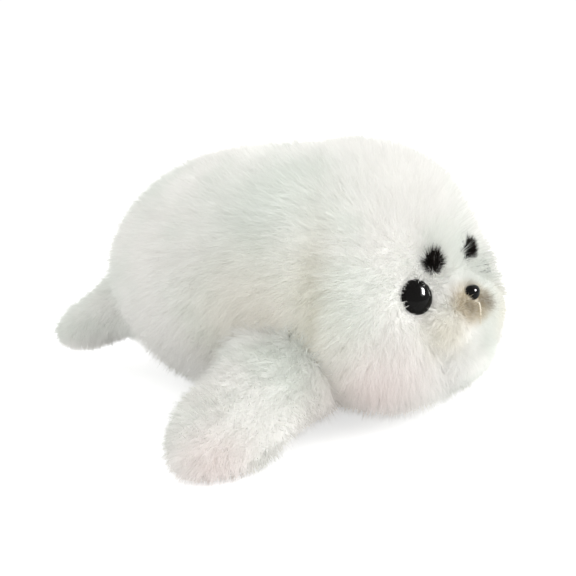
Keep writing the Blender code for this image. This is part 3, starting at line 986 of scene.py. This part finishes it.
class SEAL_OT_brows(bpy.types.Operator):
    """Makes the black tufts over the eyes"""

    bl_idname = "seal.brows"
    bl_label = "Brows"

    def execute(self, context):
        settings = context.scene.seal_pile
        body = surface_tree("body")
        look = material("dyed_black_pile", black_pile)
        for step, label in enumerate(SIDES):
            node = f"brow_{label}"
            low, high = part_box(node)
            cover = soft_copy(f"{node}_cover", node, BROW_VOXEL, 2)
            apart = distance_to(coordinates(cover.data), [body])
            places = coordinates(cover.data) - np.array(BROW_SAG)
            centre = brow_middle(label)
            radius = BROW_RADII[label]
            aside = np.linalg.norm(places[:, (0, 2)] - np.array(centre)[[0, 2]], axis=1)
            inside = 1 - eased(aside, 0.7 * radius, radius)
            upper = eased(places[:, 2], centre.z, centre.z + 0.9 * radius)
            prepare(cover, apart, upper, 1 + 0.7 * upper, inside)
            set_coordinates(cover.data, places - np.array(body.find_nearest(centre)[1]) * BROW_DEPTHS[label])
            bottom = (centre.x + 2 * MM, high.y, low.z - 6 * MM)
            comb(cover, away_from(coordinates(cover.data), bottom))
            dress(cover, material("tuft_backing", backing_cloth, tuft_dye), "black_pile", node)
            changes = {
                "Length": settings.brow_length,
                "Density": 14,
                "Width": 0.6 * settings.strand_width,
                "Tuft spacing": 0.6 * settings.tuft_spacing,
                "Steepness": 0.6,
                "Lift": -0.6,
                "Tufting": 0.2,
            }
            seed = 3000 + 100 * step
            grow_layers(f"{node}_pile", cover, 1, "black_pile", look, seed=seed, **changes)
        return {"FINISHED"}


def smooth_copy(name, node):
    """A CAD node's copy with round faces shaded round and one step finer."""
    item = merged_copy(name, node)
    item.data.shade_smooth()
    item.data.set_sharp_from_angle(angle=math.radians(40))
    finer = item.modifiers.new("finer", "SUBSURF")
    finer.levels = 1
    finer.render_levels = 1
    flatten(item)
    return item


class SEAL_OT_plastics(bpy.types.Operator):
    """Makes the glossy eyes and nose, and finishes the washers inside"""

    bl_idname = "seal.plastics"
    bl_label = "Eyes and nose"

    def execute(self, context):
        look = material("polished_black_acrylic", polished_plastic)
        for node in ("eye_right", "eye_left", "nose"):
            dress(smooth_copy(f"{node}_dome", node), look, "black_plastic", node)
            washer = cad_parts[f"{node}_washer"]
            for place in washer.material_slots:
                place.material = material("moulded_polypropylene", washer_plastic)
        return {"FINISHED"}


class SEAL_OT_stitch(bpy.types.Operator):
    """Makes the pale stitch from the nose to the mouth"""

    bl_idname = "seal.stitch"
    bl_label = "Mouth stitch"

    def execute(self, context):
        thread = smooth_copy("mouth_thread", "mouth_stitch")
        dress(thread, material("twisted_polyester_thread", twisted_thread), "thread", "mouth_stitch")
        return {"FINISHED"}


def camera_axes(settings):
    """The camera's right, up and back directions."""
    turn, height = settings.turn, settings.height
    level = Vector((math.sin(turn), -math.cos(turn), 0)) * math.cos(height)
    back = level + Vector((0, 0, math.sin(height)))
    right = Vector((math.cos(turn), math.sin(turn), 0))
    up = back.cross(right)
    roll = settings.roll
    return (
        right * math.cos(roll) + up * math.sin(roll),
        up * math.cos(roll) - right * math.sin(roll),
        back,
    )


def add_area(name, place, away, upright, width, height, power):
    """A soft box that faces back along a direction, with its height near the upright one."""
    side = upright.cross(away).normalized()
    turn = Matrix((side, away.cross(side), away)).transposed().to_4x4()
    lamp = bpy.data.lights.new(name, "AREA")
    lamp.shape = "RECTANGLE"
    lamp.size = width
    lamp.size_y = height
    lamp.energy = power
    item = add_object(name, lamp)
    item.matrix_world = Matrix.Translation(place) @ turn
    return item


def backdrop_paper(tree):
    """White paper. To the camera it is a little brighter, so that it ends in white and keeps its shadow."""
    path = add_node(tree, "ShaderNodeLightPath").node.outputs
    rays = (path["Is Camera Ray"], path["Is Glossy Ray"])
    paper = add_node(tree, "ShaderNodeBsdfDiffuse", {"Color": (0.9, 0.9, 0.9)})
    glow = add_node(tree, "ShaderNodeEmission", {"Color": (1, 1, 1), "Strength": 0.6})
    seen = add_node(tree, "ShaderNodeAddShader", (paper, glow))
    sight = add_node(tree, MATH, rays, operation="MAXIMUM")
    return add_node(tree, "ShaderNodeMixShader", (sight, paper, seen))


class SEAL_OT_stage(bpy.types.Operator):
    """Makes the floor, the lights and the camera"""

    bl_idname = "seal.stage"
    bl_label = "Stage"

    def execute(self, context):
        scene = context.scene
        settings = scene.seal_studio
        mesh = bpy.data.meshes.new("floor")
        corners = [(-FLOOR, -FLOOR, 0), (FLOOR, -FLOOR, 0), (FLOOR, FLOOR, 0), (-FLOOR, FLOOR, 0)]
        mesh.from_pydata(corners, [], [(0, 1, 2, 3)])
        floor = add_object("floor", mesh)
        mesh.materials.append(material("white_backdrop_paper", backdrop_paper))

        world = bpy.data.worlds.new("studio")
        scene.world = world
        world.use_nodes = True
        tree = world.node_tree
        tree.nodes.clear()
        way = add_node(tree, "ShaderNodeTexCoord", output="Generated")
        height = add_node(tree, "ShaderNodeSeparateXYZ", {"Vector": way}, "Z")
        inputs = (height, 0.2, 1, settings.sky, OVERHEAD * settings.sky)
        strength = add_node(tree, "ShaderNodeMapRange", inputs)
        sky = add_node(tree, "ShaderNodeBackground", {"Color": (1, 1, 1), "Strength": strength})
        add_node(tree, "ShaderNodeOutputWorld", {"Surface": sky})

        right, up, back = camera_axes(settings)
        target = Vector(CAMERA_TARGET)
        data = bpy.data.cameras.new("camera")
        data.lens = settings.lens
        data.clip_start = 50 * MM
        camera = add_object("camera", data)
        turn = Matrix((right, up, back)).transposed().to_4x4()
        camera.matrix_world = Matrix.Translation(target + back * settings.distance) @ turn
        scene.camera = camera

        upright = up * 0.78 - right * 0.19 - back * 0.6
        toward = (right * 0.84 + up * 0.44 + back * 0.31).normalized()
        add_area("key", target + toward * 1.3, toward, upright, 0.3, 0.8, settings.key)
        toward = (right * 0.88 + up * 0.42 + back * 0.24).normalized()
        place = target + toward * 1.25
        catchlight = add_area("catchlight", place, toward, upright, 0.24, 0.5, 12 * settings.key)
        catchlight.visible_diffuse = False
        aside = (back * 0.9 - right * 0.35 - up * 0.1).normalized()
        fill = add_area("fill", target + aside * 1.6, aside, up, 1.2, 1.0, settings.fill)
        fill.visible_glossy = False
        scene.view_settings.view_transform = "Standard"
        return {"FINISHED"}


class SEAL_PT_panel(bpy.types.Panel):
    """Sizes and colours of the seal"""

    bl_idname = "SEAL_PT_panel"
    bl_label = "Plush Seal"
    bl_space_type = "VIEW_3D"
    bl_region_type = "UI"
    bl_category = "Seal"

    def draw(self, context):
        for group in ("seal_pile", "seal_colours", "seal_studio"):
            settings = getattr(context.scene, group)
            column = self.layout.column(heading=group.replace("_", " ").capitalize())
            for name in settings.bl_rna.properties.keys():
                if name not in ("rna_type", "name"):
                    column.prop(settings, name)
        for operator in OPERATORS:
            self.layout.operator(operator.bl_idname)


OPERATORS = (
    SEAL_OT_body,
    SEAL_OT_muzzle,
    SEAL_OT_flippers,
    SEAL_OT_brows,
    SEAL_OT_plastics,
    SEAL_OT_stitch,
    SEAL_OT_stage,
)
CLASSES = (SealPileSettings, SealColourSettings, SealStudioSettings, *OPERATORS, SEAL_PT_panel)


def register():
    for kind in CLASSES:
        bpy.utils.register_class(kind)
    bpy.types.Scene.seal_pile = PointerProperty(type=SealPileSettings)
    bpy.types.Scene.seal_colours = PointerProperty(type=SealColourSettings)
    bpy.types.Scene.seal_studio = PointerProperty(type=SealStudioSettings)


def unregister():
    del bpy.types.Scene.seal_studio
    del bpy.types.Scene.seal_colours
    del bpy.types.Scene.seal_pile
    for kind in reversed(CLASSES):
        bpy.utils.unregister_class(kind)


def main():
    register()
    strand = single_strand()
    bpy.ops.seal.body()
    bpy.ops.seal.muzzle()
    bpy.ops.seal.flippers()
    bpy.ops.seal.brows()
    bpy.ops.seal.plastics()
    bpy.ops.seal.stitch()
    bpy.data.objects.remove(strand)
    bpy.ops.seal.stage()


if __name__ == "__main__":
    main()
